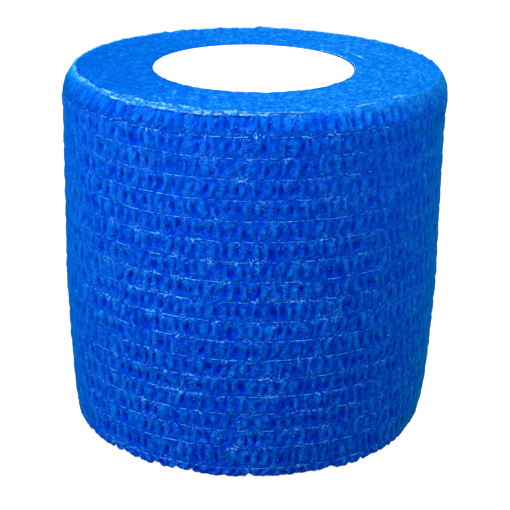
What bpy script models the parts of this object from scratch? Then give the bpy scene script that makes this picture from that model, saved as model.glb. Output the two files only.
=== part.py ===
"""Cohesive bandage roll: a crinkled elastic web wound on a white tube.

Metres, +Z up. The roll stands on one end. Its axis is Z, and z = 0 is its foot.
"""
import math

import bmesh
import bpy

OBJECT_NAME = "cohesive_bandage_roll"
MM = 0.001

# Driving dimensions
WEB_WIDTH = 50.0 * MM          # width of the bandage, so the height of the roll
LAYER = 0.65 * MM              # one turn of the relaxed web, which the last turn adds
RIB_DEPTH = 0.35 * MM          # how far an elastic yarn draws the web in
CUT_END_ANGLE = math.radians(90.0)   # the web's cut end, at the back of the roll

CORE_RADIUS = 13.7 * MM
CORE_WALL = 1.25 * MM
CORE_RECESS = 0.2 * MM         # the tube stops this far below the web's top edge
CORE_CHAMFER = 0.15 * MM
SEAT_GAP = 0.32 * MM           # web to tube; the facets' chords take back 0.02 mm

# The last turn's outer face, foot to top edge: height, radius of the ribs' crests
FACE_SHAPE_MM = (
    (0.0, 24.70),
    (1.4, 25.05),
    (3.0, 25.45),
    (4.7, 25.75),
    (10.0, 26.15),
    (20.0, 26.55),
    (30.0, 26.45),
    (40.0, 26.40),
    (46.0, 26.30),
    (47.4, 26.15),
    (48.3, 25.75),
    (49.2, 25.15),
    (50.0, 24.60),
)

# Elastic yarns, from the top edge down: rows, distance between their yarns.
# What is left below the last yarn is the foot's narrow edge.
YARN_ROWS_MM = (
    (13, 2.70),
    (4, 2.56),
    (1, 3.24),
)

# Where a rib's two crest points lie between the yarns below and above it
RIB_CRESTS = (0.28, 0.72)

# How far the yarns stray from level round the roll: lobes, height, phase
YARN_WANDER_MM = (
    (2, 0.10, 0.6),
    (5, 0.06, 2.1),
)

WEB_SECTIONS = 64
CORE_STEPS = 48
WELD_DISTANCE = 0.01 * MM
SMOOTH_UP_TO = math.radians(40.0)    # a sharper fold than this keeps its edge

# Finishes: linear colour, roughness
CLOTH_BLUE = ((0.004, 0.105, 0.62), 0.85)
TUBE_WHITE = ((0.86, 0.86, 0.90), 0.50)


def clear_scene():
    for obj in list(bpy.data.objects):
        bpy.data.objects.remove(obj, do_unlink=True)


def make_material(name, finish):
    colour, roughness = finish
    material = bpy.data.materials.new(name)
    material.use_nodes = True
    shader = material.node_tree.nodes["Principled BSDF"]
    shader.inputs["Base Color"].default_value = (*colour, 1.0)
    shader.inputs["Roughness"].default_value = roughness
    shader.inputs["Metallic"].default_value = 0.0
    material.diffuse_color = (*colour, 1.0)
    return material


def add_object(name, mesh, material, collection):
    mesh.materials.append(material)
    mesh.shade_smooth()
    mesh.set_sharp_from_angle(angle=SMOOTH_UP_TO)
    obj = bpy.data.objects.new(name, mesh)
    collection.objects.link(obj)
    return obj


def crest_radius(height):
    """Radius of the ribs' crests at a height, between the table's rows."""
    for low, high in zip(FACE_SHAPE_MM, FACE_SHAPE_MM[1:]):
        if height <= high[0] * MM:
            share = (height / MM - low[0]) / (high[0] - low[0])
            return (low[1] + share * (high[1] - low[1])) * MM
    return FACE_SHAPE_MM[-1][1] * MM


def yarn_heights():
    """Height of every yarn, the top edge's first."""
    heights = [WEB_WIDTH]
    for rows, pitch in YARN_ROWS_MM:
        for _ in range(rows):
            heights.append(heights[-1] - pitch * MM)
    return heights


def yarn_wander(angle, height):
    """Lift of a yarn at an angle, which fades out at the web's two edges."""
    lift = sum(size * MM * math.sin(lobes * angle + phase) for lobes, size, phase in YARN_WANDER_MM)
    return lift * math.sin(math.pi * height / WEB_WIDTH)


def outer_face(angle):
    """Points (radius, height) of the last turn's face, foot to top edge, at an angle."""
    yarns = sorted(yarn_heights())
    points = [(crest_radius(0.0), 0.0)]
    for low, high in zip(yarns, yarns[1:]):
        lift = yarn_wander(angle, low)
        points.append((crest_radius(low) - RIB_DEPTH, low + lift))
        for share in RIB_CRESTS:
            height = low + share * (high - low)
            points.append((crest_radius(height), height + lift))
    points.append((crest_radius(WEB_WIDTH), WEB_WIDTH))
    return points


def web_section(angle, turned):
    """Closed section (radius, height) of the wound web.

    turned is the share of the last turn from its start to here. The table gives
    the radius half way round, so the turn starts half a layer inside it.
    """
    bore = CORE_RADIUS + SEAT_GAP
    growth = LAYER * (turned - 0.5)
    face = [(radius + growth, height) for radius, height in outer_face(angle)]
    return [(bore, 0.0)] + face + [(bore, WEB_WIDTH)]


def wound_web_mesh():
    """Loft of the sections round the axis.

    The last turn starts and ends at the cut end, one layer further out, so the
    face from the last section to the first is the step of that end.
    """
    step_angle = LAYER / crest_radius(WEB_WIDTH / 2)
    sweep = 2.0 * math.pi - step_angle
    mesh_data = bmesh.new()
    rings = []
    for index in range(WEB_SECTIONS):
        turned = index / (WEB_SECTIONS - 1)
        angle = CUT_END_ANGLE + sweep * turned
        ring = []
        for radius, height in web_section(angle, turned):
            place = (radius * math.cos(angle), radius * math.sin(angle), height)
            ring.append(mesh_data.verts.new(place))
        rings.append(ring)
    for index, ring in enumerate(rings):
        following = rings[(index + 1) % WEB_SECTIONS]
        for point in range(len(ring)):
            after = (point + 1) % len(ring)
            mesh_data.faces.new((ring[point], following[point], following[after], ring[after]))
    bmesh.ops.recalc_face_normals(mesh_data, faces=mesh_data.faces)
    mesh = bpy.data.meshes.new("bandage_roll")
    mesh_data.to_mesh(mesh)
    mesh_data.free()
    return mesh


def make_core_tube(material, collection):
    """White tube with broken edges, turned from its wall's outline."""
    outer = CORE_RADIUS
    inner = CORE_RADIUS - CORE_WALL
    top = WEB_WIDTH - CORE_RECESS
    chamfer = CORE_CHAMFER
    outline = (
        (outer, top - chamfer),
        (outer, chamfer),
        (outer - chamfer, 0.0),
        (inner + chamfer, 0.0),
        (inner, chamfer),
        (inner, top - chamfer),
        (inner + chamfer, top),
        (outer - chamfer, top),
    )
    edges = [(point, (point + 1) % len(outline)) for point in range(len(outline))]
    mesh = bpy.data.meshes.new("core_tube")
    mesh.from_pydata([(radius, 0.0, height) for radius, height in outline], edges, [])
    tube = add_object("core_tube", mesh, material, collection)
    screw = tube.modifiers.new("turn", "SCREW")
    screw.axis = "Z"
    screw.angle = 2.0 * math.pi
    screw.steps = CORE_STEPS
    screw.render_steps = CORE_STEPS
    screw.use_merge_vertices = True
    screw.merge_threshold = WELD_DISTANCE
    screw.use_smooth_shade = True
    return tube


def main():
    clear_scene()
    collection = bpy.data.collections.new(OBJECT_NAME)
    bpy.context.scene.collection.children.link(collection)
    cloth = make_material("cloth_blue", CLOTH_BLUE)
    tube_white = make_material("tube_white", TUBE_WHITE)
    add_object("bandage_roll", wound_web_mesh(), cloth, collection)
    make_core_tube(tube_white, collection)


main()
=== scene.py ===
import math

import bpy
import numpy as np
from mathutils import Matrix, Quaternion, Vector


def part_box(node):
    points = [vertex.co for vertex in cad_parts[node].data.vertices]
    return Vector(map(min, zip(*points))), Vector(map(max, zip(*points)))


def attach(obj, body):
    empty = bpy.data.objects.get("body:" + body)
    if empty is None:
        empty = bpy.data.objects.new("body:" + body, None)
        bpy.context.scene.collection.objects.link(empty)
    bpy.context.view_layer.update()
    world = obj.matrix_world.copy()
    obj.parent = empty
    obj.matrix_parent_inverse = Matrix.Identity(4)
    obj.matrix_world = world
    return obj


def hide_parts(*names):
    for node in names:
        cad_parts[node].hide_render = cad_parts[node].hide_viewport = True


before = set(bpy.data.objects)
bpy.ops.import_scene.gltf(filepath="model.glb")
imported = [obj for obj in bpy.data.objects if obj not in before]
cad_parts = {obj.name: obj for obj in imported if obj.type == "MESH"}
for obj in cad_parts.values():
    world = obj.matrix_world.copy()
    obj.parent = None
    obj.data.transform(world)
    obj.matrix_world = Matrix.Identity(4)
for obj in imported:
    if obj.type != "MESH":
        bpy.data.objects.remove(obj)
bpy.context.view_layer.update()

MM = 0.001
TURN = 2.0 * math.pi

# Sizes that the frame gives
ROLL_LOW, ROLL_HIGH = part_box("bandage_roll")
CORE_LOW, CORE_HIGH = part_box("core_tube")
WEB_WIDTH = ROLL_HIGH.z - ROLL_LOW.z
CORE_RADIUS = CORE_HIGH.x
CORE_TOP = CORE_HIGH.z

# The wound web: one turn's thickness, and where its cut end lies at the back
LAYER = 0.65 * MM
CUT_END_ANGLE = math.radians(90.0)

# The last turn's outer face, foot to top edge: height, radius of the ribs' crests
FACE_SHAPE_MM = (
    (0.0, 24.70),
    (1.4, 25.05),
    (3.0, 25.45),
    (4.7, 25.75),
    (10.0, 26.15),
    (20.0, 26.55),
    (30.0, 26.45),
    (40.0, 26.40),
    (46.0, 26.30),
    (47.4, 26.15),
    (48.3, 25.75),
    (49.2, 25.15),
    (50.0, 24.60),
)

# Elastic yarns, from the top edge down: rows, distance between their yarns
YARN_ROWS_MM = (
    (13, 2.70),
    (4, 2.56),
    (1, 3.24),
)

# How far the yarns stray from level round the roll: lobes, height, phase
YARN_WANDER_MM = (
    (2, 0.10, 0.6),
    (5, 0.06, 2.1),
)

# The crinkle between two yarns
PUCKER_PITCH = 1.42 * MM
PUCKER_DEPTH = 0.34 * MM
RIB_DEPTH = 0.15 * MM
FOLD_LEAN = 0.52 * MM
EDGE_NOTCH = 0.85 * MM
LIP_RADIUS = 0.18 * MM  # the web's own rounded edge, at the top and the foot
LIP_DEPTH = 0.45 * MM  # how far that edge runs down behind the last turn
FOOT_LIP = 0.14 * MM  # the face starts this far up, and its rounded edge reaches the foot
FACE_COLUMNS = 1200
ROW_STEPS = 11
EVEN_STEPS = 0.45  # shares of a row's steps that are even, and that close up at the yarns
CLOSE_STEPS = 0.55
SLOPE_SPAN = 0.4 * MM  # height either side of a point that gives the face's slope there
LIP_BENDS = (25.0, 60.0, 95.0, 130.0, 165.0)  # degrees round the rounded edge
LIP_DROP = 0.3  # share of its radius that the rounded edge's centre lies inside
ROW_SHIFT = 0.37  # each row's puckers are out of step with the next row's
TEETH_MM = 0.60  # fine teeth of the foot edge
RIPPLE_MM = 0.30  # ripple of the top edge
WAVE_MM = 0.20  # slow wave of the foot edge
PAINTED_SHEEN_AT_FOOT = 0.5  # share of the painted sheen at the foot, and how much is added up to the top as painted light
PAINTED_SHEEN_RISE = 1.0
CUT_FADE = 0.05  # rows over which the ends' finish comes in, and how many more for
CUT_FADE_FULL = 0.6  # each millimetre that the top corner is fuller
RIM_ROWS = 0.1  # how far down the fluffy rim reaches

# Pattern of the crinkle; a range is where in a noise, or in a row, a form comes in
ROW_STRETCH = 0.10  # the pattern is slow over a row's middle and quick at the yarns
SWAY = 0.55  # how far folds stray along the roll, in puckers
TWIST = 0.60
BORDER_STRAY = 0.12  # how far the border between two rows' folds strays, in rows
CREST_POWER = 2.5  # how narrow a crest is at its lower end, and how much it widens
CREST_WIDENS = 1.5
CREST_RANGE = (-0.50, 0.40)  # some crests are missing, and this little is left of them:
CREST_LEAST = 0.2
DENT_PITCH = (1.9, 2.5)  # small pits a pucker and a row
DENT_STRAY = 0.5
DENT_RANGE = (0.0, 0.30)
MIDDLE_POWER = 2.4  # how suddenly a yarn draws the web in
VALLEY_POWER = 2.8
VALLEY_PLACE = 0.86  # deepest place: 0 at the yarn below, 1 half way, 2 at the yarn above
VALLEY_STRAY = 0.6
VALLEY_REACH = (0.05, 0.65)
VALLEY_RANGE = (-0.40, 0.30)
PIT_VALLEY = 1.10  # a pit is deep by its valley and by the crests that are missing
PIT_CREST = 0.50
FALL_PIT = 0.90  # the web falls in by its pits, dents and wrinkles
FALL_UNEVEN = 0.35
FALL_DENT = 0.22
FALL_WRINKLE = 0.66
DEPTH_AT_YARN = 0.35  # share of the depth that is left at a yarn
CUT_FLATTENS = 0.85
FLAP_RAGGED = 0.6
SCALLOP_POWER = 2.0
SCALLOP_MM = 0.45
RAGGED_MM = 0.5
SCALLOP_INSET_MM = 0.25
TEETH_LOWEST = -0.05
TEETH_ANYWHERE = 0.2
FOOT_ROWS = 0.5  # the foot edge's notches fade over this much of its row
NOTCH_RANGE = (-0.04, 0.42)
RIPPLE_LEVEL = 0.22
WAVE_RANGE = (-0.4, 0.5)
TOP_ROW_FOOT = 1.3  # row places below the top edge where the top row begins
TOP_ROW_FULL = 0.6

# How high a place stands for the finish: 0 in a pit, 1 on a crest. The finish gives the pits
# a darker blue and the crests a lighter one, partly the web's own hue and partly painted shade in
# the pits and painted light on the crests; the top row gets more painted light
RELIEF_LEVEL = 0.745
RELIEF_FALL = 0.73
RELIEF_MIDDLE = 0.12
TOP_ROW_PAINTED_LIGHT = 0.14
CALM_RELIEF = 0.50
CUT_BLEND = 0.75
CUT_RELIEF = 0.40
FLAP_RELIEF = 0.25
FLAP_RELIEF_POWER = 4.0
SHADE_RELIEF = 0.75
HELD_POWER = 1.5

# Noises: waves a pucker, or a millimetre of a strand; waves a row, a layer or a strand; a number
# that sets it apart from the others; detail. The second sets those apart that are read one way.
NOISES = {
    "sway": (0.33, 0.8, 0.0, 1.0),
    "twist": (1.1, 1.7, 5.0, 1.0),
    "rise": (1.0, 1.3, 15.0, 1.0),
    "lack": (0.8, 1.6, 27.0, 1.0),
    "uneven": (0.6, 0.9, 7.0, 1.0),
    "wrinkle": (1.9, 2.5, 3.0, 2.0),
    "lean": (0.21, 0.7, 11.0, 0.0),
    "ragged": (2.3, 70.0, 0.0, 2.0),
    "notch": (0.85, 43.0, 0.0, 1.0),
    "teeth": (1.5, 44.0, 0.0, 1.0),
    "ripple": (0.9, 21.0, 0.0, 1.0),
    "slow wave": (0.30, 60.0, 0.0, 1.0),
    "yarn waver": (1.1, 3.7, 0.0, 1.0),
    "yarn rise": (0.40, 5.1, 9.0, 1.0),
    "yarn curl": (0.5, 7.3, 31.0, 0.0),
    "turn bend": (0.55, 0.5, 0.0, 1.0),
    "crimp": (0.95, 5.3, 9.0, 1.0),
    "felt": (3.1, 1.9, 20.0, 2.0),
    "strand wander": (1.3, 5.7, 0.0, 1.0),
    "strand width": (2.3, 3.1, 8.0, 0.0),
}

# Where the roll's two corners are fuller than the table: angle, more radius in mm
TOP_FULLNESS = (
    (0, 1.0), (20, 0.8), (45, 0.4), (70, 0.1), (95, 0.7), (130, 0.4), (165, 0.45),
    (190, 0.4), (215, 0.1), (290, 0.1), (315, 0.6), (340, 1.0),
)
FOOT_FULLNESS = (
    (0, 0.2), (90, 0.3), (180, 0.5), (212, 1.0), (235, 1.05), (250, 0.9), (275, 0.75),
    (287, 0.6), (303, 0.9), (318, 0.7), (335, 0.2),
)
FULLNESS_REACH = 3.2 * MM  # height over which a corner's fullness fades
FULLNESS_POWER = 1.3  # how suddenly it fades

# How the web lies round the roll, by angle: how calm its crinkle is, how much wider
# its puckers are, how fluffy its top edge is, how torn its foot edge is, how much painted
# sheen it has, how much painted shade its top row has and how much painted light the rows
# below that have
CALM = (
    (5, 0.50), (30, 0.30), (60, 0.10), (90, 0.0), (150, 0.15), (175, 0.50), (190, 0.56),
    (205, 0.42), (214, 0.12), (224, -0.05), (240, -0.12), (258, 0.0), (300, 0.0), (320, 0.20),
    (338, 0.48), (350, 0.58),
)
WIDER = (
    (0, 0.2), (60, 0.0), (150, 0.1), (190, 0.45), (215, 0.35), (240, 0.05), (300, 0.0), (335, 0.2),
)
RIM_FLUFF = (
    (0, 0.1), (45, 0.7), (90, 0.8), (180, 1.0), (215, 0.7), (250, 0.3), (300, 0.15),
)
TORN_FOOT = (
    (0, 0.3), (200, 0.4), (215, 0.9), (250, 0.9), (260, 0.45), (291, 0.35), (297, 1.0), (318, 1.0),
    (330, 0.4),
)
PAINTED_SHEEN = (
    (20, 0.2), (90, 0.5), (170, 1.1), (200, 1.3), (225, 1.1), (245, 0.5), (262, 0.05), (285, 0.05),
    (305, 0.8), (325, 1.0), (340, 0.4), (352, 0.05),
)
RIM_SHADE = (
    (0, 0.0), (30, 0.3), (90, 0.6), (195, 0.9), (235, 1.0), (265, 0.85), (288, 0.85), (312, 0.3),
    (335, 0.0),
)
UPPER_LIGHT = (
    (0, 0.0), (200, 0.1), (235, 0.3), (250, 1.0), (285, 1.0), (300, 1.5), (315, 1.5), (325, 0.8),
    (340, 0.4), (355, 0.0),
)
CALM_SINK = 0.20 * MM  # the yarns lie deeper where the web is calm

# The top row's painted shade and the painted light on the rows below it, by row places counted
# down from the top edge
SHADE_BELOW_RIM = ((-1.14, 0.0), (-0.99, 1.0), (-0.75, 1.0), (-0.30, 0.45), (0.0, 0.1))
LIGHT_BELOW_RIM = ((-8.5, 0.0), (-6.5, 0.35), (-4.5, 0.75), (-3.0, 1.0), (-1.2, 1.0), (-1.0, 0.0))

# The web's cut end lifts a little, and the turn beneath it is in its shade
FLAP_REACH = 1.4 * MM
FLAP_LIFT = 0.28 * MM
SHADE_REACH = 0.8 * MM

# Rows of each piece of the face; a row place is the row line below it plus a share
FACE_BANDS = ((0, 5), (5, 10), (10, 15), (15, 19))

# Elastic yarns
YARN_RADIUS = 0.053 * MM
YARN_SINK = 0.215 * MM  # their centres lie this far inside the ribs' crests
YARN_WAVER = 0.09 * MM
YARN_RISE = 1.2  # they waver this much more up and down
YARN_COLUMNS = 480
YARN_SIDES = 4
YARN_END_POINTS = 7
YARN_END_MM = (0.2, 1.1)  # shortest and longest free end past the cut end
YARN_END_CURL_MM = 1.4  # how far those ends wander up and down, and stand off
YARN_END_LIFT_MM = 0.9
YARN_END_FREE = (0.3, 1.0)  # each end does so by a share between these
YARN_END_PUCKERS = 3.0  # the curl is read over this many puckers

# Wound ends
END_RINGS = 74
END_COLUMNS = 560
TOP_LEVEL = 0.16 * MM  # the turns' edges lie this far inside the web's width
FOOT_LEVEL = 0.34 * MM
FOOT_RISE = 0.75 * MM  # and rise this much more towards the foot's notched rim
FOOT_RISE_POWER = 9
LAYER_GROOVE = 0.05 * MM
GROOVE_POWER = 3.0
CRIMP_HEIGHT = 0.16 * MM
TURN_BEND = 0.55  # how far the turns' edges stray, in layers
FELT_RISE = 0.55  # the felt's height and its way aside, as shares of the crimp's height
FELT_ASIDE = 0.5
END_RELIEF = 0.48
CRIMP_RELIEF = 0.28
FELT_RELIEF = 0.66
GROOVE_RELIEF = 0.08
END_INSET = 0.2 * MM  # the turns stop this far inside the last turn's face
TUBE_GAP = 0.02 * MM  # and start this far outside the tube
SKIRT = 0.8 * MM  # how far the first turn shows beside the tube
SKIRT_END = 0.1 * MM
SKIRT_ROWS = 5
SKIRT_RELIEF = 0.25  # share of the ends' relief on it
LEFT_PAINTED_SHADE = 0.31  # the turns are darker on the left, as painted shade
LEFT_SHADE_POWER = 1.5
FRONT_SPECKS = 0.6  # light specks gather at the front

# White tube
TUBE_OUTER = CORE_RADIUS + 0.13 * MM  # the real web grips the tube, with no gap
TUBE_WALL = 1.25 * MM
TUBE_EDGE = 0.18 * MM
TUBE_COLUMNS = 160
TUBE_EDGE_POINTS = 5

# Frayed yarn along the top edge, angles from +X, counter-clockwise:
# from, to, radius in mm, height in mm, filaments side by side, spread in mm
RIM_STRANDS = (
    (187, 228, 24.50, 50.05, 6, 0.15),
    (221, 233, 24.95, 49.80, 4, 0.10),
    (230, 254, 24.25, 50.05, 6, 0.12),
    (229, 263, 25.05, 49.80, 6, 0.12),
    (252, 269, 24.60, 50.00, 6, 0.15),
    (262, 275, 25.00, 49.86, 4, 0.09),
    (270, 286, 24.60, 50.00, 2, 0.07),
    (276, 282, 24.55, 50.02, 3, 0.05),
    (294, 307, 24.40, 50.05, 4, 0.06),
    (318, 322, 24.30, 50.10, 3, 0.07),
    (-8, 44, 14.45, 49.94, 3, 0.02),
    (11, 38, 16.90, 49.87, 2, 0.04),
    (44, 47, 24.85, 49.70, 5, 0.07),
    (118, 120, 24.95, 49.74, 8, 0.06),
    (137, 140, 24.75, 49.74, 7, 0.06),
    (157, 160, 24.75, 49.78, 9, 0.08),
    (258, 262, 14.00, 50.00, 4, 0.14),
)
FILAMENT_RADIUS = 0.027 * MM
FILAMENT_LENGTH = 1.7 * MM
FILAMENT_POINTS = 12
FILAMENT_SPAN = (0.6, 1.8)  # shortest and longest, as shares of the length
FILAMENT_SCATTER = 0.6  # how far their middles lie apart, as a share of the spread
STRAND_WANDER = 5.0  # how far they wander, in spreads
STRAND_WIDTH_RANGE = 0.6

# Loose fibres that stand off the web
FUZZ_PER_SQUARE_MM = 7.0
FUZZ_LENGTH = 0.22 * MM
FUZZ_RADIUS = 0.024 * MM
FUZZ_SIZES = (0.5, 1.7)  # smallest and largest, as shares of these
FUZZ_SHAPES = ((0.9, 0.5, 0.25), (-0.5, 0.8, 0.1), (0.3, 0.25, 0.8))  # bend, reach, rise
FIBRE_SIDES = 3
FIBRE_STEPS = 3
FUZZ_TAIL = (-0.5, -0.08)  # where a fibre starts, in fibre lengths
FUZZ_TIP = 0.6  # share of its rise at its other end
FUZZ_AT_YARN = 0.9  # most fibres stand at the yarns, and few where the web is calm
FUZZ_ANYWHERE = 0.25
FUZZ_CALM = 1.6
FUZZ_TURN_SEED = 4
FUZZ_SIZE_SEED = 8
CLUMP_WAVES = 450.0  # clumps of fibres, as noise waves per metre
CLUMP_RANGE = (-0.2, 0.6)
END_FUZZ_SHARE = 0.10  # the top end has only this share of the face's

# Finishes, linear colours; the first two by how high a place stands, from pit to crest, darker
# in the pits with painted shade and lighter on the crests with painted light
SIDE_BLUES = ((0.10, (0.0, 0.012, 0.51)), (0.5, (0.0, 0.040, 0.535)), (1.0, (0.002, 0.178, 0.70)))
END_BLUES = ((0.05, (0.0, 0.038, 0.36)), (0.5, (0.001, 0.083, 0.44)), (0.95, (0.016, 0.215, 0.62)))
# painted sheen
PAINTED_SHEEN_BLUE = (0.004, 0.24, 0.80, 1.0)
# painted shade on the top row, and painted light on the rows below it
PAINTED_SHADE_BLUE = (0.0, 0.03, 0.36, 1.0)
PAINTED_LIGHT_BLUE = (0.004, 0.10, 0.85, 1.0)
FIBRE_BLUE = (0.008, 0.26, 1.0, 1.0)
FIBRE_WIDTH = 0.13
FIBRE_SHARE = 0.28
FIBRE_HEIGHT = 0.6
THINNER_SHARE = 0.8
PATCH_RANGE = (-0.15, 0.45)
PATCH_LEAST = 0.2
SPECK_BLUE = (0.045, 0.36, 1.0, 1.0)
SPECK_WHITE = (0.19, 0.56, 1.0, 1.0)
RIM_BLUE = (0.01, 0.34, 0.86, 1.0)
WEB_ROUGHNESS = 0.86
WEB_SHEEN = 0.45
SHEEN_ROUGHNESS = 0.34
SHEEN_TINT = (0.0, 0.60, 0.20, 1.0)
FIBRE_RELIEF = 0.12 * MM
FELT_LAY = (1.0, 0.48, 1.0)  # the felt's fibres are longer from front to back
TUBE_WHITES = ((0.90, 0.90, 0.94, 1.0), (0.97, 0.97, 0.98, 1.0))
TUBE_ROUGHNESS = 0.48
TUBE_UNEVEN = 0.05

# Yarns and fibres: where dull, where bright (a painted glint), bright patches as waves per
# metre, gloss, glint
ELASTIC_YARN = ((0.0, 0.05, 0.55), (0.07, 0.50, 1.0), 1300.0, 0.0, 0.55)
FRAYED_YARN = ((0.01, 0.20, 0.78), (0.26, 0.68, 1.0), 1500.0, 0.1, 0.0)
LOOSE_FIBRE = ((0.0, 0.12, 0.85), (0.02, 0.42, 1.0), 700.0, 0.0, 0.0)
YARN_TINT = (0.2, 0.7, 1.0, 1.0)
GLEAM_RANGE = (-0.22, 0.30)
DULL_ROUGHNESS = 0.65
GLEAM_GLOSS = 0.3

# How the web's colours, specks and fine relief add up, and how far that changes on the wound
# ends, which are cut edges, where the web is calm and under its painted sheen
TONE_BROAD = 0.10
TONE_GRAIN = 0.26
TONE_GRAIN_CUT = 0.12
TONE_SOFT_CUT = 0.34
FIBRE_CUT = 0.6
# share of the painted sheen
PAINTED_SHEEN_SHARE = 0.17
PAINTED_SHADE_PIT = 1.52  # the top row's painted shade in a pit, and how much less on a crest
PAINTED_SHADE_CREST = 1.05
# share of the painted light on the rows below the top row
PAINTED_LIGHT_SHARE = 0.20
CLUSTER_RANGE = (-0.25, 0.55)
SPECK_RANGE = (0.10, 0.25)
SPECK_AT_YARN = 1.1
SPECK_ANYWHERE = 0.26
SPECK_SHARE = 0.95
SPECK_CUT = 0.50
SPECK_CALM = 1.5
SPECK_PAINTED_SHEEN = 0.35
SPECK_RELIEF = (0.10, 0.40)  # none in the pits
WHITE_POWER = 2.4  # only the strongest specks are white
RIM_GRAIN = 0.6
RIM_SHARE = 0.5
BUMP_FIBRE = 0.65
BUMP_FIBRE_CUT = 0.25
BUMP_GRAIN = 0.5
BUMP_GRAIN_CUT = 0.2
FIBRE_GLOSS = 0.25

# How fine the finishes' patterns are, as noise waves per metre
BROAD_WAVES = 130.0
CLOUD_WAVES = 160.0
PATCH_WAVES = 420.0
CLUSTER_WAVES = 520.0
COARSE_FIBRE_WAVES = 1300.0
SOFT_WAVES = 1350.0
FINE_FIBRE_WAVES = 2700.0
GRAIN_WAVES = 2800.0
SPECK_WAVES = 3200.0

# Camera, worked out from the photograph's perspective
CAMERA_PLACE = (0.0, -0.195, 0.0967)
CAMERA_AIM = (0.00064, 0.0, 0.02215)
CAMERA_LENS = 102.27
CAMERA_SENSOR = 36.0
CAMERA_ROLL = 0.0172
CAMERA_NEAR = 0.01

# Studio: the floor, the air, and soft lights by place, aim, size and power
FLOOR_HALF = 1.5
FLOOR_COLOUR = (0.16, 0.16, 0.17, 1.0)
FLOOR_ROUGHNESS = 0.9
FLOOR_GLOW = 0.95  # both the floor and the air are white to the camera alone
WHITE = (1.0, 1.0, 1.0, 1.0)
AIR_COLOUR = (0.72, 0.90, 1.0, 1.0)
AIR_LIGHT = 0.4
AIR_GLOW = 0.6
LIGHTS = (
    ("overhead", (0.08, 0.02, 0.38), (0.0, 0.0, 0.03), 0.30, 1.12),
    ("key", (-0.20, -0.13, 0.25), (0.0, 0.0, 0.04), 0.11, 1.12),
    ("side", (0.15, -0.18, 0.26), (0.0, 0.0, 0.04), 0.14, 0.42),
)


# Node trees

class Nodes:
    """Adds nodes to one tree, so that a formula reads as a few short calls."""

    def __init__(self, tree):
        self.tree = tree

    def add(self, kind, inputs=None, **settings):
        node = self.tree.nodes.new(kind)
        for name, value in settings.items():
            setattr(node, name, value)
        self.give(node, inputs or {})
        return node

    def give(self, node, inputs):
        """Feeds a node's inputs, by name or number."""
        for key, value in inputs.items():
            self.feed(node.inputs[key], value)

    def feed(self, socket, value):
        if isinstance(value, Field):
            value = value.socket
        if isinstance(value, bpy.types.NodeSocket):
            self.tree.links.new(value, socket)
        else:
            socket.default_value = value

    def math(self, operation, *values):
        node = self.add("ShaderNodeMath", operation=operation)
        for socket, value in zip(node.inputs, values):
            self.feed(socket, value)
        return Field(self, node.outputs[0])

    def join(self, operation, first, second):
        node = self.add("ShaderNodeVectorMath", {0: first, 1: second}, operation=operation)
        return Field(self, node.outputs["Vector"])

    def unit(self, vector):
        node = self.add("ShaderNodeVectorMath", {0: vector}, operation="NORMALIZE")
        return Field(self, node.outputs["Vector"])

    def scale(self, vector, size):
        node = self.add("ShaderNodeVectorMath", {0: vector, "Scale": size}, operation="SCALE")
        return Field(self, node.outputs["Vector"])

    def combine(self, x=0.0, y=0.0, z=0.0):
        return Field(self, self.add("ShaderNodeCombineXYZ", {"X": x, "Y": y, "Z": z}).outputs[0])

    def noise(self, place, detail=0.0, scale=1.0):
        """Smooth noise, from about -1 to 1."""
        node = self.add("ShaderNodeTexNoise", {"Vector": place, "Scale": scale, "Detail": detail})
        return Field(self, node.outputs[0]) * 2.0 - 1.0

    def spot(self, name, along, across=1.0, seed=0.0):
        """Place in a noise of the table, read along one way or two, and its detail."""
        fine, high, apart, detail = NOISES[name]
        return self.combine(along * fine, across * high, seed + apart), detail

    def pattern(self, *read):
        """Noise of the table."""
        return self.noise(*self.spot(*read))

    def beside(self, value):
        """1 at whole numbers, 0 half way between them."""
        return self.math("ABSOLUTE", self.math("FRACT", value) * 2.0 - 1.0)

    def pits(self, place, low, high):
        """1 in the middle of scattered cells, 0 on the ridges between them."""
        node = self.add("ShaderNodeTexVoronoi", {
            "Vector": place, "Scale": 1.0, "Randomness": 1.0},
            voronoi_dimensions="2D", feature="DISTANCE_TO_EDGE")
        return self.step(Field(self, node.outputs["Distance"]), low, high)

    def step(self, value, low, high):
        """0 below low, 1 above high, smooth between."""
        node = self.add("ShaderNodeMapRange", {"Value": value, "From Min": low, "From Max": high},
                        interpolation_type="SMOOTHSTEP")
        return Field(self, node.outputs[0])


class Field:
    """A socket that adds, subtracts and multiplies as a number does."""

    def __init__(self, nodes, socket):
        self.nodes = nodes
        self.socket = socket

    def __add__(self, other):
        return self.nodes.math("ADD", self, other)

    def __sub__(self, other):
        return self.nodes.math("SUBTRACT", self, other)

    def __rsub__(self, other):
        return self.nodes.math("SUBTRACT", other, self)

    def __mul__(self, other):
        return self.nodes.math("MULTIPLY", self, other)

    def __pow__(self, other):
        return self.nodes.math("POWER", self, other)

    __radd__ = __add__
    __rmul__ = __mul__


def start_tree(name, sockets):
    """Geometry Nodes tree with its named inputs: the nodes, the geometry in, the fields."""
    tree = bpy.data.node_groups.new(name, "GeometryNodeTree")
    tree.interface.new_socket("Geometry", in_out="OUTPUT", socket_type="NodeSocketGeometry")
    tree.interface.new_socket("Geometry", in_out="INPUT", socket_type="NodeSocketGeometry")
    for socket in sockets:
        tree.interface.new_socket(socket, in_out="INPUT", socket_type="NodeSocketFloat")
    tree.interface.new_socket("Material", in_out="INPUT", socket_type="NodeSocketMaterial")
    nodes = Nodes(tree)
    given = nodes.add("NodeGroupInput").outputs
    fields = {socket: Field(nodes, given[socket]) for socket in sockets}
    return nodes, given, fields


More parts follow.
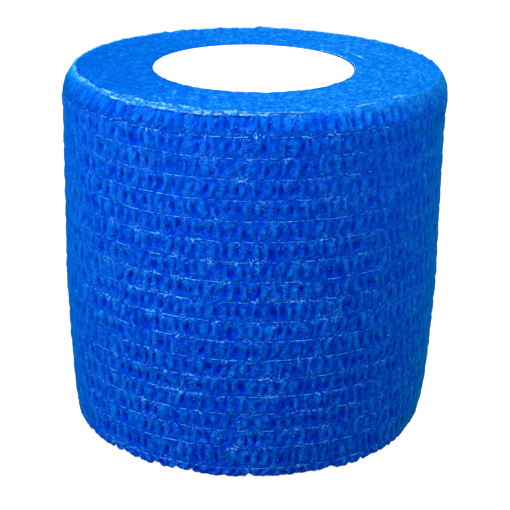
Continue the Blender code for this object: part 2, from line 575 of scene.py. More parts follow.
def end_tree(nodes, geometry, given):
    """Closes a tree with plain meshes in their finish."""
    real = nodes.add("GeometryNodeRealizeInstances", {0: geometry}).outputs[0]
    finish = nodes.add("GeometryNodeSetMaterial", {"Geometry": real, "Material": given["Material"]})
    nodes.add("NodeGroupOutput", {0: finish.outputs[0]})
    return nodes.tree


def tube_along(nodes, curve, radius, sides):
    """Thin round tube along a curve, closed at its ends: its node."""
    profile = nodes.add("GeometryNodeCurvePrimitiveCircle", {"Resolution": sides, "Radius": radius})
    return nodes.add("GeometryNodeCurveToMesh", {
        "Curve": curve, "Profile Curve": profile.outputs[0], "Fill Caps": True})


def attribute(nodes, name, kind="FLOAT"):
    node = nodes.add("GeometryNodeInputNamedAttribute", {"Name": name}, data_type=kind)
    return Field(nodes, node.outputs["Attribute"])


def attributes(nodes, *names):
    """Numbers that the start mesh keeps on its points."""
    return [attribute(nodes, name) for name in names]


def keep_attribute(nodes, geometry, name, value):
    """Stores a number on the points for the finish to read."""
    return nodes.add("GeometryNodeStoreNamedAttribute", {
        "Geometry": geometry, "Name": name, "Value": value},
        data_type="FLOAT", domain="POINT").outputs[0]


def move_points(nodes, geometry, offset):
    node = nodes.add("GeometryNodeSetPosition", {"Geometry": geometry, "Offset": offset})
    return node.outputs[0]


def grown(name, mesh, tree, material, **sizes):
    """Plain mesh object, shaded smooth, that a tree makes of a start mesh."""
    start = bpy.data.objects.new(name + "_start", mesh)
    bpy.context.scene.collection.objects.link(start)
    modifier = start.modifiers.new(tree.name, "NODES")
    modifier.node_group = tree
    values = {key.replace("_", " ").title(): value for key, value in sizes.items()}
    values["Material"] = material
    for item in tree.interface.items_tree:
        if item.in_out == "INPUT" and item.name in values:
            modifier[item.identifier] = values[item.name]
    graph = bpy.context.evaluated_depsgraph_get()
    mesh = bpy.data.meshes.new_from_object(start.evaluated_get(graph), depsgraph=graph)
    bpy.data.objects.remove(start)
    return add_piece(name, mesh)


def add_piece(name, mesh, material=None):
    mesh.name = name
    mesh.shade_smooth()
    if material:
        mesh.materials.append(material)
    piece = bpy.data.objects.new(name, mesh)
    bpy.context.scene.collection.objects.link(piece)
    return piece


def dress(piece, slot, *replaced):
    """Says what a finished piece rides on and what it replaces; slot, its finish in the record, is not
    used.
    """
    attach(piece, "root")
    if replaced:
        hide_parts(*replaced)


# Start meshes

def start_mesh(points, edges, faces, values):
    """Mesh whose points, in rows and columns, keep numbers or vectors under their names."""
    mesh = bpy.data.meshes.new("start")
    mesh.from_pydata(points.reshape(-1, 3).tolist(), edges, faces)
    for name, data in values.items():
        data = np.array(data, np.float32)
        vector = data.ndim == 3
        data = np.broadcast_to(data, points.shape if vector else points.shape[:2])
        layer = mesh.attributes.new(name, "FLOAT_VECTOR" if vector else "FLOAT", "POINT")
        layer.data.foreach_set("vector" if vector else "value", data.ravel())
    return mesh


def grid_mesh(points, values, ring=False):
    """Grid of points, rows upwards, closed round the roll; in a ring, the rows close too."""
    rows, columns = points.shape[:2]
    index = np.arange(rows * columns).reshape(rows, columns)
    if ring:
        index = np.concatenate([index, index[:1]])
    right = np.roll(index, -1, axis=1)
    faces = np.stack([index[:-1], right[:-1], right[1:], index[1:]], axis=-1).reshape(-1, 4)
    return start_mesh(points, [], faces.tolist(), values)


def line_mesh(lines, values):
    """Lines with as many points each, given as lines by points."""
    count, length = lines.shape[:2]
    index = np.arange(count * length).reshape(count, length)
    edges = np.stack([index[:, :-1], index[:, 1:]], axis=-1).reshape(-1, 2)
    return start_mesh(lines, edges.tolist(), [], values)


# Shape of the wound web

def face_radius(height):
    table = np.array(FACE_SHAPE_MM) * MM
    return np.interp(height, table[:, 0], table[:, 1])


def row_lines():
    """Heights of the row lines, upwards: foot edge, yarns, top edge."""
    heights = [WEB_WIDTH]
    for rows, pitch in YARN_ROWS_MM:
        for _ in range(rows):
            heights.append(heights[-1] - pitch * MM)
    return np.array([FOOT_LIP] + heights[::-1])


LAST_LINE = len(row_lines()) - 1
GIRTH = face_radius(WEB_WIDTH / 2) * TURN


def last_turn(columns):
    """Angles of the last turn, from the cut end round to it, and the share turned."""
    step_angle = LAYER / face_radius(WEB_WIDTH / 2)
    turned = np.linspace(0.0, 1.0, columns)
    return CUT_END_ANGLE + (TURN - step_angle) * turned, turned


def growth(turned):
    return LAYER * (turned - 0.5)


def fullness(table, angle):
    """More radius at an edge, by angle, in metres."""
    return by_angle(table, angle) * MM


def by_angle(table, angle):
    """Share at an angle, between the table's rows."""
    table = np.array(table, float)
    return np.interp(np.degrees(angle) % 360.0, table[:, 0], table[:, 1], period=360.0)


def by_row(table, places):
    """Share at row places, counted down from the top edge."""
    table = np.array(table, float)
    return np.interp(places - LAST_LINE, table[:, 0], table[:, 1])


def cells(angle, turned):
    """Puckers counted round the last turn."""
    steps = np.diff(turned, prepend=0.0) * GIRTH / PUCKER_PITCH
    return np.cumsum(steps / (1.0 + by_angle(WIDER, angle)))


def on_roll(radius, angle, height):
    """Points at these radii, angles and heights about the roll's axis."""
    parts = np.broadcast_arrays(radius * np.cos(angle), radius * np.sin(angle), height)
    return np.stack(parts, axis=-1)


def corners(height, angle):
    """More radius of the face near its two edges."""
    top = np.exp(-((WEB_WIDTH - height) / FULLNESS_REACH) ** FULLNESS_POWER)
    foot = np.exp(-(height / FULLNESS_REACH) ** FULLNESS_POWER)
    return top * fullness(TOP_FULLNESS, angle)[None] + foot * fullness(FOOT_FULLNESS, angle)[None]


def face_points(places, angle, turned):
    """Points of the last turn's face at row places, and the face's outward direction."""
    lines = row_lines()
    height = np.interp(places, np.arange(len(lines)), lines)[:, None]
    slope = face_radius(height - SLOPE_SPAN) - face_radius(height + SLOPE_SPAN)
    slope = slope / (2.0 * SLOPE_SPAN)
    wander = sum(size * MM * np.sin(lobes * angle + phase) for lobes, size, phase in YARN_WANDER_MM)
    lift = wander[None, :] * np.sin(math.pi * height / WEB_WIDTH)
    radius = face_radius(height) + growth(turned)[None, :] + corners(height, angle)
    outward = on_roll(1.0, angle, slope) / np.sqrt(1.0 + slope[..., None] ** 2)
    return on_roll(radius, angle, height + lift), outward


def row_places(first, last):
    """Row places from one row line to another, closer together near the yarns."""
    even = np.linspace(0.0, 1.0, ROW_STEPS + 1)[:-1]
    shares = EVEN_STEPS * even + CLOSE_STEPS * (0.5 - 0.5 * np.cos(math.pi * even))
    return np.array([row + share for row in range(first, last) for share in shares] + [last])


def lip_rows(edge, outward, up):
    """Rows that carry an edge row of the face over the web's rounded edge and in behind it."""
    flat = outward * np.array([1.0, 1.0, 0.0])
    flat = flat / np.linalg.norm(flat, axis=-1, keepdims=True)
    rise = np.array([0.0, 0.0, up])
    centre = edge - LIP_RADIUS * flat - LIP_DROP * LIP_RADIUS * rise
    rows = []
    for bend in LIP_BENDS:
        bend = math.radians(bend)
        rows.append(centre + LIP_RADIUS * (math.cos(bend) * flat + math.sin(bend) * rise))
    rows.append(centre - LIP_RADIUS * flat - LIP_DEPTH * rise)
    return np.array(rows)


def crinkle_tree():
    """Puckers that stand between the yarns and are drawn in at them; a notched foot edge."""
    nodes, given, size = start_tree(
        "crinkle", ("Pucker Depth", "Rib Depth", "Fold Lean", "Edge Notch", "Seed"))
    row, cell, cut, calm, flap, torn, shade = attributes(
        nodes, "row", "cell", "cut", "calm", "flap", "torn", "shade")
    outward = attribute(nodes, "outward", "FLOAT_VECTOR")
    stretched = row + nodes.math("SINE", row * TURN) * ROW_STRETCH
    sway = nodes.pattern("sway", cell, stretched, size["Seed"]) * SWAY
    twist = nodes.pattern("twist", cell, stretched)
    rise = nodes.pattern("rise", cell, stretched)
    # folds stand side by side in a row, out of step with those of the next row
    step_aside = nodes.math("FLOOR", row + rise * BORDER_STRAY) * ROW_SHIFT
    turns = cell + sway + twist * TWIST + step_aside
    wave = nodes.math("SINE", turns * TURN) * 0.5
    share = nodes.math("FRACT", row)
    lack = nodes.pattern("lack", cell, stretched)
    shown = nodes.step(lack * -1.0, *CREST_RANGE) * (1.0 - CREST_LEAST) + CREST_LEAST
    crest = (0.5 - wave) ** (CREST_POWER - share * CREST_WIDENS) * shown
    # smaller pits inside the puckers and in their walls
    round_roll, upwards = DENT_PITCH
    dent = nodes.pits(nodes.combine(
        cell * round_roll + rise * DENT_STRAY, stretched * upwards + twist * DENT_STRAY), *DENT_RANGE)
    middle = 1.0 - nodes.beside(row) ** MIDDLE_POWER
    # a valley is deepest below the middle of its row
    off = nodes.math("ABSOLUTE", share * 2.0 - VALLEY_PLACE + rise * VALLEY_STRAY)
    hole = (wave + 0.5) ** VALLEY_POWER * (1.0 - nodes.step(off, *VALLEY_REACH))
    hole = hole * nodes.step(lack, *VALLEY_RANGE)
    pit = hole * PIT_VALLEY + (1.0 - crest) * PIT_CREST
    fall = pit * (FALL_PIT + nodes.pattern("uneven", cell, row) * FALL_UNEVEN)
    fall = fall + dent * FALL_DENT - nodes.pattern("wrinkle", cell, row) * FALL_WRINKLE
    depth = size["Pucker Depth"] * (middle * (1.0 - DEPTH_AT_YARN) + DEPTH_AT_YARN)
    depth = depth * (1.0 - cut * CUT_FLATTENS) * (1.0 - calm)
    ragged = nodes.pattern("ragged", row)
    height = (middle - 1.0) * size["Rib Depth"] - fall * depth
    height = height + flap * (ragged * FLAP_RAGGED + 1.0) * FLAP_LIFT
    sideways = nodes.pattern("lean", cell, row) * (1.0 - pit) * middle * size["Fold Lean"]
    # the cut end is scalloped, because its yarns have drawn back
    scallop = middle * SCALLOP_MM + ragged * RAGGED_MM - SCALLOP_INSET_MM
    sideways = sideways + flap ** SCALLOP_POWER * scallop * MM
    position = nodes.add("GeometryNodeInputPosition").outputs[0]
    along = nodes.unit(nodes.join("CROSS_PRODUCT", (0.0, 0.0, 1.0), position))
    # the foot edge is notched where its pleats close
    teeth = nodes.math("MAXIMUM", nodes.pattern("teeth", cell), TEETH_LOWEST)
    teeth = teeth * (torn + TEETH_ANYWHERE) * TEETH_MM * MM
    notch = nodes.step(nodes.pattern("notch", cell), *NOTCH_RANGE) * torn
    wavy = nodes.step(nodes.pattern("slow wave", cell), *WAVE_RANGE) * WAVE_MM * MM
    low = 1.0 - nodes.step(row, 0.0, FOOT_ROWS)
    lift = (notch * size["Edge Notch"] + wavy + teeth) * low
    ripple = (nodes.pattern("ripple", cell) - RIPPLE_LEVEL) * RIPPLE_MM * MM
    lift = lift + ripple * nodes.step(row, LAST_LINE - 1.0, LAST_LINE)
    offset = nodes.join("ADD", nodes.scale(outward, height), nodes.scale(along, sideways))
    offset = nodes.join("ADD", offset, nodes.combine(0.0, 0.0, lift))
    moved = move_points(nodes, given["Geometry"], offset)
    # the top row gets painted light; through the finish, pits get painted shade and crests painted
    # light
    top_row_lit = nodes.step(row, LAST_LINE - TOP_ROW_FOOT, LAST_LINE - TOP_ROW_FULL)
    relief = RELIEF_LEVEL - fall * RELIEF_FALL + middle * RELIEF_MIDDLE + top_row_lit * TOP_ROW_PAINTED_LIGHT
    relief = relief * (1.0 - calm) + calm * CALM_RELIEF
    relief = relief * (1.0 - cut * CUT_BLEND) + cut * CUT_RELIEF
    relief = relief + flap ** FLAP_RELIEF_POWER * FLAP_RELIEF - shade * SHADE_RELIEF
    moved = keep_attribute(nodes, moved, "relief", relief)
    moved = keep_attribute(nodes, moved, "held", (1.0 - middle) ** HELD_POWER)
    return end_tree(nodes, moved, given)


def make_web_face(material):
    """The last turn's crinkled face, one piece for each band of rows."""
    tree = crinkle_tree()
    angle, turned = last_turn(FACE_COLUMNS)
    bands = []
    for number, (first, last) in enumerate(FACE_BANDS, 1):
        places = row_places(first, last)
        points, outward = face_points(places, angle, turned)
        more = [0, 0]
        if first == 0:
            lip = lip_rows(points[0], outward[0], -1.0)[::-1]
            points = np.concatenate([lip, points])
            more[0] = len(lip)
        if last == LAST_LINE:
            lip = lip_rows(points[-1], outward[-1], 1.0)
            points = np.concatenate([points, lip])
            more[1] = len(lip)
        outward = np.pad(outward, (more, (0, 0), (0, 0)), "edge")
        places = np.pad(places, more, "edge")[:, None]
        # the ends' finish begins on the face, further down where the top corner is fuller
        full = fullness(TOP_FULLNESS, angle) / MM
        cut = np.clip((places - LAST_LINE + full) / (CUT_FADE + CUT_FADE_FULL * full), 0.0, 1.0)
        rim = np.clip((places - LAST_LINE) / RIM_ROWS + 1.0, 0.0, 1.0)
        # painted sheen, with more of it towards the top edge as painted light
        painted_sheen = PAINTED_SHEEN_AT_FOOT + PAINTED_SHEEN_RISE * places / LAST_LINE
        start = grid_mesh(points, {
            "row": places,
            "cell": cells(angle, turned),
            "outward": outward,
            "cut": cut,
            "rim": rim * by_angle(RIM_FLUFF, angle),
            "calm": by_angle(CALM, angle),
            "torn": by_angle(TORN_FOOT, angle),
            "painted_sheen": painted_sheen * by_angle(PAINTED_SHEEN, angle),
            # painted shade on the top row and painted light on the rows below it
            "shaded": by_row(SHADE_BELOW_RIM, places) * by_angle(RIM_SHADE, angle),
            "lit": by_row(LIGHT_BELOW_RIM, places) * by_angle(UPPER_LIGHT, angle),
            "flap": np.exp((turned - 1.0) * GIRTH / FLAP_REACH),
            "shade": np.exp(-turned * GIRTH / SHADE_REACH)})
        bands.append(grown(
            f"web_face_{number}", start, tree, material, pucker_depth=PUCKER_DEPTH,
            rib_depth=RIB_DEPTH, fold_lean=FOLD_LEAN, edge_notch=EDGE_NOTCH, seed=3.0))
    return bands


def yarn_tree():
    """Round yarns along lines, a little wavering."""
    nodes, given, size = start_tree("yarns", ("Yarn Radius", "Sink", "Waver"))
    outward = attribute(nodes, "outward", "FLOAT_VECTOR")
    cell, row, free, calm = attributes(nodes, "cell", "row", "free", "calm")
    waver = nodes.pattern("yarn waver", cell, row) * size["Waver"]
    rise = nodes.pattern("yarn rise", cell, row) * size["Waver"] * YARN_RISE
    curl = nodes.pattern("yarn curl", cell, row) * free * YARN_END_CURL_MM * MM
    held = (size["Sink"] + calm * CALM_SINK) * (1.0 - free)
    depth = waver - held + free * YARN_END_LIFT_MM * MM
    offset = nodes.join("ADD", nodes.scale(outward, depth), nodes.combine(0.0, 0.0, rise + curl))
    moved = move_points(nodes, given["Geometry"], offset)
    line = nodes.add("GeometryNodeMeshToCurve", {"Mesh": moved}).outputs[0]
    tube = tube_along(nodes, line, size["Yarn Radius"], YARN_SIDES)
    return end_tree(nodes, tube.outputs[0], given)


def make_yarns(material):
    """One elastic yarn in every row line, its end free beyond the web's cut end."""
    angle, turned = last_turn(YARN_COLUMNS)
    tail = np.linspace(0.0, 1.0, YARN_END_POINTS)[1:]
    rows = np.arange(1, LAST_LINE)
    draw = np.random.default_rng(5)
    lines, directions, frees, places_along = [], [], [], []
    for row in rows:
        reach = draw.uniform(*YARN_END_MM) * MM / face_radius(WEB_WIDTH / 2)
        end_angle = np.concatenate([angle, angle[-1] + tail * reach])
        end_turned = np.concatenate([turned, np.ones(len(tail))])
        points, outward = face_points(np.array([float(row)]), end_angle, end_turned)
        lines.append(points[0])
        directions.append(outward[0])
        frees.append(np.concatenate([np.zeros(len(angle)), tail * draw.uniform(*YARN_END_FREE)]))
        places_along.append(end_turned * GIRTH / PUCKER_PITCH + frees[-1] * YARN_END_PUCKERS)
    start = line_mesh(np.array(lines), {
        "outward": directions, "row": rows[:, None], "free": frees, "cell": places_along,
        "calm": by_angle(CALM, end_angle)})
    return grown("elastic_yarns", start, yarn_tree(), material,
                 yarn_radius=YARN_RADIUS, sink=YARN_SINK, waver=YARN_WAVER)


def turns_tree():
    """Crimped edges of the wound turns, side by side and a little grown together."""
    nodes, given, size = start_tree("turns", ("Layer Groove", "Crimp Height", "Way", "Seed"))
    layer, girth, flat, left_shade = attributes(nodes, "layer", "girth", "flat", "left_shade")
    outward = attribute(nodes, "outward", "FLOAT_VECTOR")
    seed = size["Seed"]
    crimped = layer + nodes.pattern("turn bend", girth, layer, seed) * TURN_BEND
    groove = nodes.beside(crimped) ** GROOVE_POWER
    crimp = nodes.pattern("crimp", girth, nodes.math("FLOOR", crimped), seed)
    felt = nodes.pattern("felt", girth, layer, seed)
    fall = groove * size["Layer Groove"] * -1.0
    rise = crimp * size["Crimp Height"] + felt * size["Crimp Height"] * FELT_RISE + fall
    aside = felt * size["Crimp Height"] * FELT_ASIDE * flat
    offset = nodes.combine(0.0, 0.0, rise * size["Way"] * flat)
    offset = nodes.join("ADD", offset, nodes.scale(outward, aside))
    moved = move_points(nodes, given["Geometry"], offset)
    # higher places lighter and grooves darker, as painted light and shade; the left side darker, as
    # painted shade
    relief = crimp * CRIMP_RELIEF + felt * FELT_RELIEF - groove * GROOVE_RELIEF + END_RELIEF - left_shade
    moved = keep_attribute(nodes, moved, "relief", relief)
    return end_tree(nodes, moved, given)


def make_wound_end(name, tree, material, way):
    """The wound turns' edges at the top (way 1) or the foot (way -1)."""
    angle, turned = last_turn(END_COLUMNS)
    edge = WEB_WIDTH if way > 0 else 0.0
    table = TOP_FULLNESS if way > 0 else FOOT_FULLNESS
    outer = face_radius(edge) + growth(turned) + fullness(table, angle) - END_INSET
    inner = TUBE_OUTER + TUBE_GAP
    share = np.linspace(0.0, 1.0, END_RINGS)[:, None]
    radius = inner + share * (outer - inner)[None, :]
    level = edge - TOP_LEVEL + 0.0 * radius
    if way < 0:
        level = edge + FOOT_LEVEL + FOOT_RISE * share ** FOOT_RISE_POWER + 0.0 * radius
    flat = np.ones_like(radius)
    # the first turn runs down beside the tube
    skirt = np.linspace(SKIRT, SKIRT_END, SKIRT_ROWS)[:, None] + 0.0 * radius[:1]
    radius = np.concatenate([inner + 0.0 * skirt, radius])
    level = np.concatenate([level[:1] - way * skirt, level])
    flat = np.concatenate([SKIRT_RELIEF + 0.0 * skirt, flat])
    points = on_roll(radius, angle, level)
    layer = (outer[None, :] - radius) / LAYER
    girth = turned[None, :] * TURN * radius / PUCKER_PITCH
    if way > 0:
        # faces point outwards when the grid's rows run inwards at the top
        points, layer, girth, flat = points[::-1], layer[::-1], girth[::-1], flat[::-1]
    start = grid_mesh(points, {
        "layer": layer, "girth": girth, "flat": flat, "cut": 1.0,
        "outward": on_roll(1.0, angle, 0.0)[None],
        # painted shade on the left
        "left_shade": LEFT_PAINTED_SHADE * np.clip(-np.cos(angle), 0.0, 1.0) ** LEFT_SHADE_POWER,
        "held": FRONT_SPECKS * np.clip(-np.sin(angle), 0.0, 1.0)})
    return grown(name, start, tree, material, layer_groove=LAYER_GROOVE,
                 crimp_height=CRIMP_HEIGHT, way=way, seed=2.0 + way)


def strand_tree():
    """Loose filaments that wander about their line and vary in thickness."""
    nodes, given, size = start_tree("strands", ("Filament Radius",))
    along, number, spread = attributes(nodes, "along", "number", "spread")
    place, detail = nodes.spot("strand wander", along, number)
    wander = nodes.add("ShaderNodeTexNoise", {"Vector": place, "Scale": 1.0, "Detail": detail})
    centred = nodes.join("SUBTRACT", wander.outputs["Color"], (0.5, 0.5, 0.5))
    moved = move_points(nodes, given["Geometry"], nodes.scale(centred, spread * STRAND_WANDER))
    line = nodes.add("GeometryNodeMeshToCurve", {"Mesh": moved}).outputs[0]
    thick = nodes.pattern("strand width", along, number) * STRAND_WIDTH_RANGE + 1.0
    tube = tube_along(nodes, line, size["Filament Radius"], YARN_SIDES)
    nodes.feed(tube.inputs["Scale"], thick)
    return end_tree(nodes, tube.outputs[0], given)


def make_rim_strands(material):
    """The top edge's frayed yarn: short filaments that lie over each other along it."""
    draw = np.random.default_rng(11)
    share = np.linspace(-0.5, 0.5, FILAMENT_POINTS)
    lines, alongs, spreads = [], [], []
    for first, last, radius, height, filaments, spread in RIM_STRANDS:
        arc = math.radians(last - first) * radius * MM
        for _ in range(round(filaments * arc / FILAMENT_LENGTH)):
            middle = math.radians(draw.uniform(first, last))
            length = FILAMENT_LENGTH * draw.uniform(*FILAMENT_SPAN)
            angle = middle + share * length / (radius * MM)
            tilt = draw.normal(0.0, spread, 2)
            place = draw.normal(0.0, FILAMENT_SCATTER * spread, 2)
            reach = (radius + place[0] + tilt[0] * share) * MM + growth((angle - CUT_END_ANGLE) / TURN)
            level = (height + place[1] + tilt[1] * share) * MM
            lines.append(on_roll(reach, angle, level))
            alongs.append(angle * radius)
            spreads.append(spread * MM)
    start = line_mesh(np.array(lines), {
        "along": alongs,
        "number": np.arange(len(lines))[:, None],
        "spread": np.array(spreads)[:, None]})
    return grown("rim_strands", start, strand_tree(), material,
                 filament_radius=FILAMENT_RADIUS)


def fuzz_tree():
    """Short bent fibres that stand off a surface here and there, of three shapes."""
    nodes, given, size = start_tree("fuzz", ("Density", "Fibre Length", "Fibre Radius", "Seed"))
    # fibres gather in clumps, most of them where a yarn holds the web down
    position = nodes.add("GeometryNodeInputPosition").outputs[0]
    clump = nodes.step(nodes.noise(position, 1.0, CLUMP_WAVES), *CLUMP_RANGE)
    row, calm = attributes(nodes, "row", "calm")
    density = size["Density"] * clump * (nodes.beside(row) ** 2.0 * FUZZ_AT_YARN + FUZZ_ANYWHERE)
    density = density * (1.0 - calm * FUZZ_CALM)
    points = nodes.add("GeometryNodeDistributePointsOnFaces", {
        "Mesh": given["Geometry"], "Density": density, "Seed": given["Seed"]},
        distribute_method="RANDOM")
    shapes = nodes.add("GeometryNodeJoinGeometry")
    length = size["Fibre Length"]
    back, down = FUZZ_TAIL
    for bend, reach, rise in FUZZ_SHAPES:
        curve = nodes.add("GeometryNodeCurveQuadraticBezier", {
            "Resolution": FIBRE_STEPS,
            "Start": nodes.combine(length * back, 0.0, length * down),
            "Middle": nodes.combine(0.0, length * bend, length * rise),
            "End": nodes.combine(length * reach, 0.0, length * rise * FUZZ_TIP)})
        fibre = tube_along(nodes, curve.outputs[0], size["Fibre Radius"], FIBRE_SIDES)
        single = nodes.add("GeometryNodeGeometryToInstance", {0: fibre.outputs[0]})
        nodes.feed(shapes.inputs[0], single.outputs[0])
    turn = nodes.add("FunctionNodeRandomValue", {
        "Min": 0.0, "Max": TURN, "Seed": FUZZ_TURN_SEED}, data_type="FLOAT")
    spin = nodes.add("FunctionNodeRotateRotation", {0: points.outputs["Rotation"]},
                     rotation_space="LOCAL")
    nodes.feed(spin.inputs[1], nodes.add("FunctionNodeEulerToRotation", {
        0: nodes.combine(0.0, 0.0, Field(nodes, turn.outputs["Value"]))}).outputs[0])
    smallest, largest = FUZZ_SIZES
    grow = nodes.add("FunctionNodeRandomValue", {
        "Min": smallest, "Max": largest, "Seed": FUZZ_SIZE_SEED}, data_type="FLOAT")
    placed = nodes.add("GeometryNodeInstanceOnPoints", {
        "Points": points.outputs["Points"], "Instance": shapes.outputs[0], "Pick Instance": True,
        "Rotation": spin.outputs[0], "Scale": grow.outputs["Value"]})
    return end_tree(nodes, placed.outputs[0], given)


def make_fuzz(name, tree, surface, material, seed, share):
    """Loose fibres on one finished piece of the web."""
    density = share * FUZZ_PER_SQUARE_MM / MM ** 2
    return grown(name, surface.data.copy(), tree, material, density=density,
                 fibre_length=FUZZ_LENGTH, fibre_radius=FUZZ_RADIUS, seed=seed)


def make_tube(material):
    """The white tube, turned from its wall's outline with rounded edges."""
    outer, inner = TUBE_OUTER, TUBE_OUTER - TUBE_WALL
    outline = []
    corners = (
        (outer, CORE_TOP, 0.0),
        (inner, CORE_TOP, 90.0),
        (inner, CORE_LOW.z, 180.0),
        (outer, CORE_LOW.z, 270.0),
    )
    for radius, height, first in corners:
        for bend in np.radians(first + np.linspace(0.0, 90.0, TUBE_EDGE_POINTS)):
            centre_radius = radius + (TUBE_EDGE if radius == inner else -TUBE_EDGE)
            centre_height = height + (TUBE_EDGE if height == CORE_LOW.z else -TUBE_EDGE)
            outline.append((centre_radius + TUBE_EDGE * math.cos(bend),
                            centre_height + TUBE_EDGE * math.sin(bend)))
    outline = np.array(outline)
    angle = np.linspace(0.0, TURN, TUBE_COLUMNS, endpoint=False)
    points = on_roll(outline[:, :1], angle, outline[:, 1:])
    return add_piece("white_tube", grid_mesh(points, {}, ring=True), material)


# Finishes

def new_material(name):
    material = bpy.data.materials.new(name)
    material.use_nodes = True
    return material, Nodes(material.node_tree), material.node_tree.nodes["Principled BSDF"]


def colour_ramp(nodes, value, stops):
    node = nodes.add("ShaderNodeValToRGB", {"Fac": value})
    ramp = node.color_ramp
    while len(ramp.elements) < len(stops):
        ramp.elements.new(0.5)
    for element, (place, colour) in zip(ramp.elements, stops):
        element.position = place
        element.color = (*colour, 1.0)
    return node.outputs[0]


def mix(nodes, share, first, second):
    node = nodes.add("ShaderNodeMix", {0: share, 6: first, 7: second}, data_type="RGBA")
    return node.outputs[2]


def fibre_group():
    """Fine fibres of the nonwoven: a mask of light fibres and a height."""
    group = bpy.data.node_groups.new("nonwoven_fibres", "ShaderNodeTree")
    group.interface.new_socket("Place", in_out="INPUT", socket_type="NodeSocketVector")
    group.interface.new_socket("Width", in_out="INPUT", socket_type="NodeSocketFloat")
    group.interface.new_socket("Fibres", in_out="OUTPUT", socket_type="NodeSocketFloat")
    group.interface.new_socket("Height", in_out="OUTPUT", socket_type="NodeSocketFloat")
    nodes = Nodes(group)
    given = nodes.add("NodeGroupInput").outputs
    place = given["Place"]
    coarse = nodes.math("ABSOLUTE", nodes.noise(place, 1.0, COARSE_FIBRE_WAVES))
    fine = nodes.math("ABSOLUTE", nodes.noise(place, 1.0, FINE_FIBRE_WAVES))
    thin = 1.0 - nodes.step(coarse, 0.0, Field(nodes, given["Width"]))
    thinner = 1.0 - nodes.step(fine, 0.0, Field(nodes, given["Width"]))
    patch = nodes.step(nodes.noise(place, 1.0, PATCH_WAVES), *PATCH_RANGE)
    patch = patch * (1.0 - PATCH_LEAST) + PATCH_LEAST
    fibres = nodes.math("MAXIMUM", thin, thinner * THINNER_SHARE) * patch
    height = fibres * FIBRE_HEIGHT + fine * (1.0 - FIBRE_HEIGHT)
    nodes.add("NodeGroupOutput", {"Fibres": fibres, "Height": height})
    return group


def web_material(fibres):
    """Matte crinkled nonwoven: painted shade in pits, painted light on crests, fine light fibres over
    both.
    """
    material, nodes, shader = new_material("crinkled_web")
    place = nodes.add("ShaderNodeTexCoord").outputs["Object"]
    relief, cut, held, rim, calm, painted_sheen, shaded, lit = [
        Field(nodes, nodes.add("ShaderNodeAttribute", attribute_name=name).outputs["Fac"])
        for name in ("relief", "cut", "held", "rim", "calm", "painted_sheen", "shaded", "lit")]
    laid = nodes.join("MULTIPLY", place, FELT_LAY)
    group = nodes.add("ShaderNodeGroup", {"Place": laid, "Width": FIBRE_WIDTH}, node_tree=fibres)
    broad = nodes.noise(place, 2.0, BROAD_WAVES)
    grain = nodes.noise(laid, 2.0, GRAIN_WAVES)
    soft = nodes.noise(laid, 1.0, SOFT_WAVES)
    tone = relief + broad * TONE_BROAD + grain * (cut * TONE_GRAIN_CUT + TONE_GRAIN)
    tone = tone + soft * cut * TONE_SOFT_CUT
    side = colour_ramp(nodes, tone, SIDE_BLUES)
    end = colour_ramp(nodes, tone, END_BLUES)
    light = Field(nodes, group.outputs["Fibres"]) * FIBRE_SHARE * (1.0 - cut * FIBRE_CUT)
    # light specks gather at the yarns, and are few in the pits and where the web is calm
    cluster = nodes.step(nodes.noise(place, 1.0, CLUSTER_WAVES), *CLUSTER_RANGE)
    speck = nodes.step(nodes.noise(laid, 1.0, SPECK_WAVES), *SPECK_RANGE)
    speck = speck * cluster * (held * SPECK_AT_YARN + SPECK_ANYWHERE)
    shown = (SPECK_SHARE - cut * SPECK_CUT) * (1.0 - calm * SPECK_CALM) * (1.0 - painted_sheen * SPECK_PAINTED_SHEEN)
    speck = speck * (shown * nodes.step(relief, *SPECK_RELIEF))
    colour = mix(nodes, cut, side, end)
    # painted sheen, painted shade on the top row, painted light below it, then fibres, specks and rim
    for share, blue in (
            (painted_sheen * tone * PAINTED_SHEEN_SHARE, PAINTED_SHEEN_BLUE),
            (shaded * (PAINTED_SHADE_PIT - relief * PAINTED_SHADE_CREST), PAINTED_SHADE_BLUE),
            (lit * PAINTED_LIGHT_SHARE, PAINTED_LIGHT_BLUE),
            (light, FIBRE_BLUE),
            (speck, SPECK_BLUE),
            (speck ** WHITE_POWER, SPECK_WHITE),
            (rim * (grain * RIM_GRAIN + RIM_SHARE), RIM_BLUE)):
        colour = mix(nodes, share, colour, blue)
    height = Field(nodes, group.outputs["Height"]) * (BUMP_FIBRE - cut * BUMP_FIBRE_CUT)
    height = height + grain * (BUMP_GRAIN - cut * BUMP_GRAIN_CUT)
    bump = nodes.add("ShaderNodeBump", {"Strength": 1.0, "Distance": FIBRE_RELIEF, "Height": height})
    nodes.give(shader, {
        "Base Color": colour, "Normal": bump.outputs[0],
        "Roughness": WEB_ROUGHNESS - light * FIBRE_GLOSS, "Specular IOR Level": 0.0,
        "Sheen Weight": WEB_SHEEN, "Sheen Roughness": SHEEN_ROUGHNESS, "Sheen Tint": SHEEN_TINT})
    return material


def yarn_material(name, finish):
    """Yarn or fibre that is clear in places and catches the light in others, with a painted glint
    there.
    """
    dull, bright, patches, gloss, glint = finish
    material, nodes, shader = new_material(name)
    place = nodes.add("ShaderNodeTexCoord").outputs["Object"]
    # the gleaming patches get a lighter colour, a painted glint, beside their real gloss
    gleam = nodes.step(nodes.noise(place, 1.0, patches), *GLEAM_RANGE)
    nodes.give(shader, {
        "Base Color": mix(nodes, gleam, (*dull, 1.0), (*bright, 1.0)),
        "Roughness": DULL_ROUGHNESS - gleam * GLEAM_GLOSS,
        "Specular IOR Level": gloss, "Specular Tint": YARN_TINT})
    if glint:
        nodes.feed(shader.inputs["Metallic"], gleam * glint)
    return material


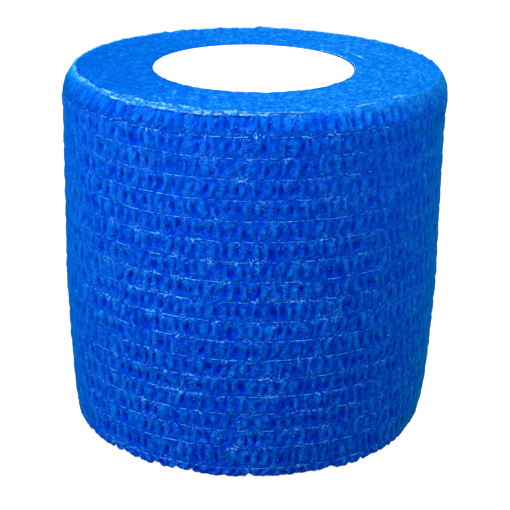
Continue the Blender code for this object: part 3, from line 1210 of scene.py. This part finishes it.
def tube_material():
    material, nodes, shader = new_material("white_plastic")
    place = nodes.add("ShaderNodeTexCoord").outputs["Object"]
    cloud = nodes.noise(place, 2.0, CLOUD_WAVES)
    nodes.give(shader, {
        "Base Color": mix(nodes, cloud * 0.5 + 0.5, *TUBE_WHITES),
        "Roughness": cloud * TUBE_UNEVEN + TUBE_ROUGHNESS})
    return material


# Studio

def make_stage():
    """Floor, air and lights."""
    mesh = bpy.data.meshes.new("floor")
    corners = [(x * FLOOR_HALF, y * FLOOR_HALF, 0) for x, y in ((-1, -1), (1, -1), (1, 1), (-1, 1))]
    mesh.from_pydata(corners, [], [(0, 1, 2, 3)])
    material, nodes, shader = new_material("pale_floor")
    seen = Field(nodes, nodes.add("ShaderNodeLightPath").outputs["Is Camera Ray"])
    nodes.give(shader, {
        "Base Color": FLOOR_COLOUR, "Roughness": FLOOR_ROUGHNESS,
        "Emission Color": WHITE, "Emission Strength": seen * FLOOR_GLOW})
    floor = add_piece("floor", mesh, material)
    world = bpy.data.worlds.new("studio")
    world.use_nodes = True
    air = Nodes(world.node_tree)
    background = world.node_tree.nodes["Background"]
    seen = Field(air, air.add("ShaderNodeLightPath").outputs["Is Camera Ray"])
    air.give(background, {
        "Color": mix(air, seen, AIR_COLOUR, WHITE), "Strength": seen * AIR_GLOW + AIR_LIGHT})
    bpy.context.scene.world = world
    for name, place, aim, size, power in LIGHTS:
        data = bpy.data.lights.new(name, "AREA")
        data.size = size
        data.energy = power
        add_aimed(name, data, place, aim)


def add_aimed(name, data, place, aim, roll=0.0):
    """Light or camera at a place, turned towards its aim."""
    aimed = bpy.data.objects.new(name, data)
    aimed.location = place
    aimed.rotation_mode = "QUATERNION"
    facing = (Vector(aim) - Vector(place)).to_track_quat("-Z", "Y")
    aimed.rotation_quaternion = facing @ Quaternion((0.0, 0.0, 1.0), roll)
    bpy.context.scene.collection.objects.link(aimed)
    return aimed


def make_camera():
    data = bpy.data.cameras.new("camera")
    data.lens = CAMERA_LENS
    data.sensor_width = CAMERA_SENSOR
    data.clip_start = CAMERA_NEAR
    bpy.context.scene.camera = add_aimed("camera", data, CAMERA_PLACE, CAMERA_AIM, CAMERA_ROLL)


def main():
    bpy.context.scene.view_settings.view_transform = "Standard"
    make_camera()
    make_stage()
    web = web_material(fibre_group())
    bands = make_web_face(web)
    for band in bands:
        dress(band, "cloth")
    turns = turns_tree()
    ends = [make_wound_end(name, turns, web, way)
            for name, way in (("wound_top", 1.0), ("wound_foot", -1.0))]
    for end in ends:
        dress(end, "cloth")
    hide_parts("bandage_roll")
    dress(make_yarns(yarn_material("elastic_yarn", ELASTIC_YARN)), "cloth")
    dress(make_rim_strands(yarn_material("frayed_yarn", FRAYED_YARN)), "cloth")
    loose = yarn_material("loose_fibres", LOOSE_FIBRE)
    tree = fuzz_tree()
    surfaces = [(band, 1.0) for band in bands] + [(ends[0], END_FUZZ_SHARE)]
    for number, (surface, share) in enumerate(surfaces, 1):
        dress(make_fuzz(f"loose_fibres_{number}", tree, surface, loose, number, share), "cloth")
    dress(make_tube(tube_material()), "tube", "core_tube")


main()
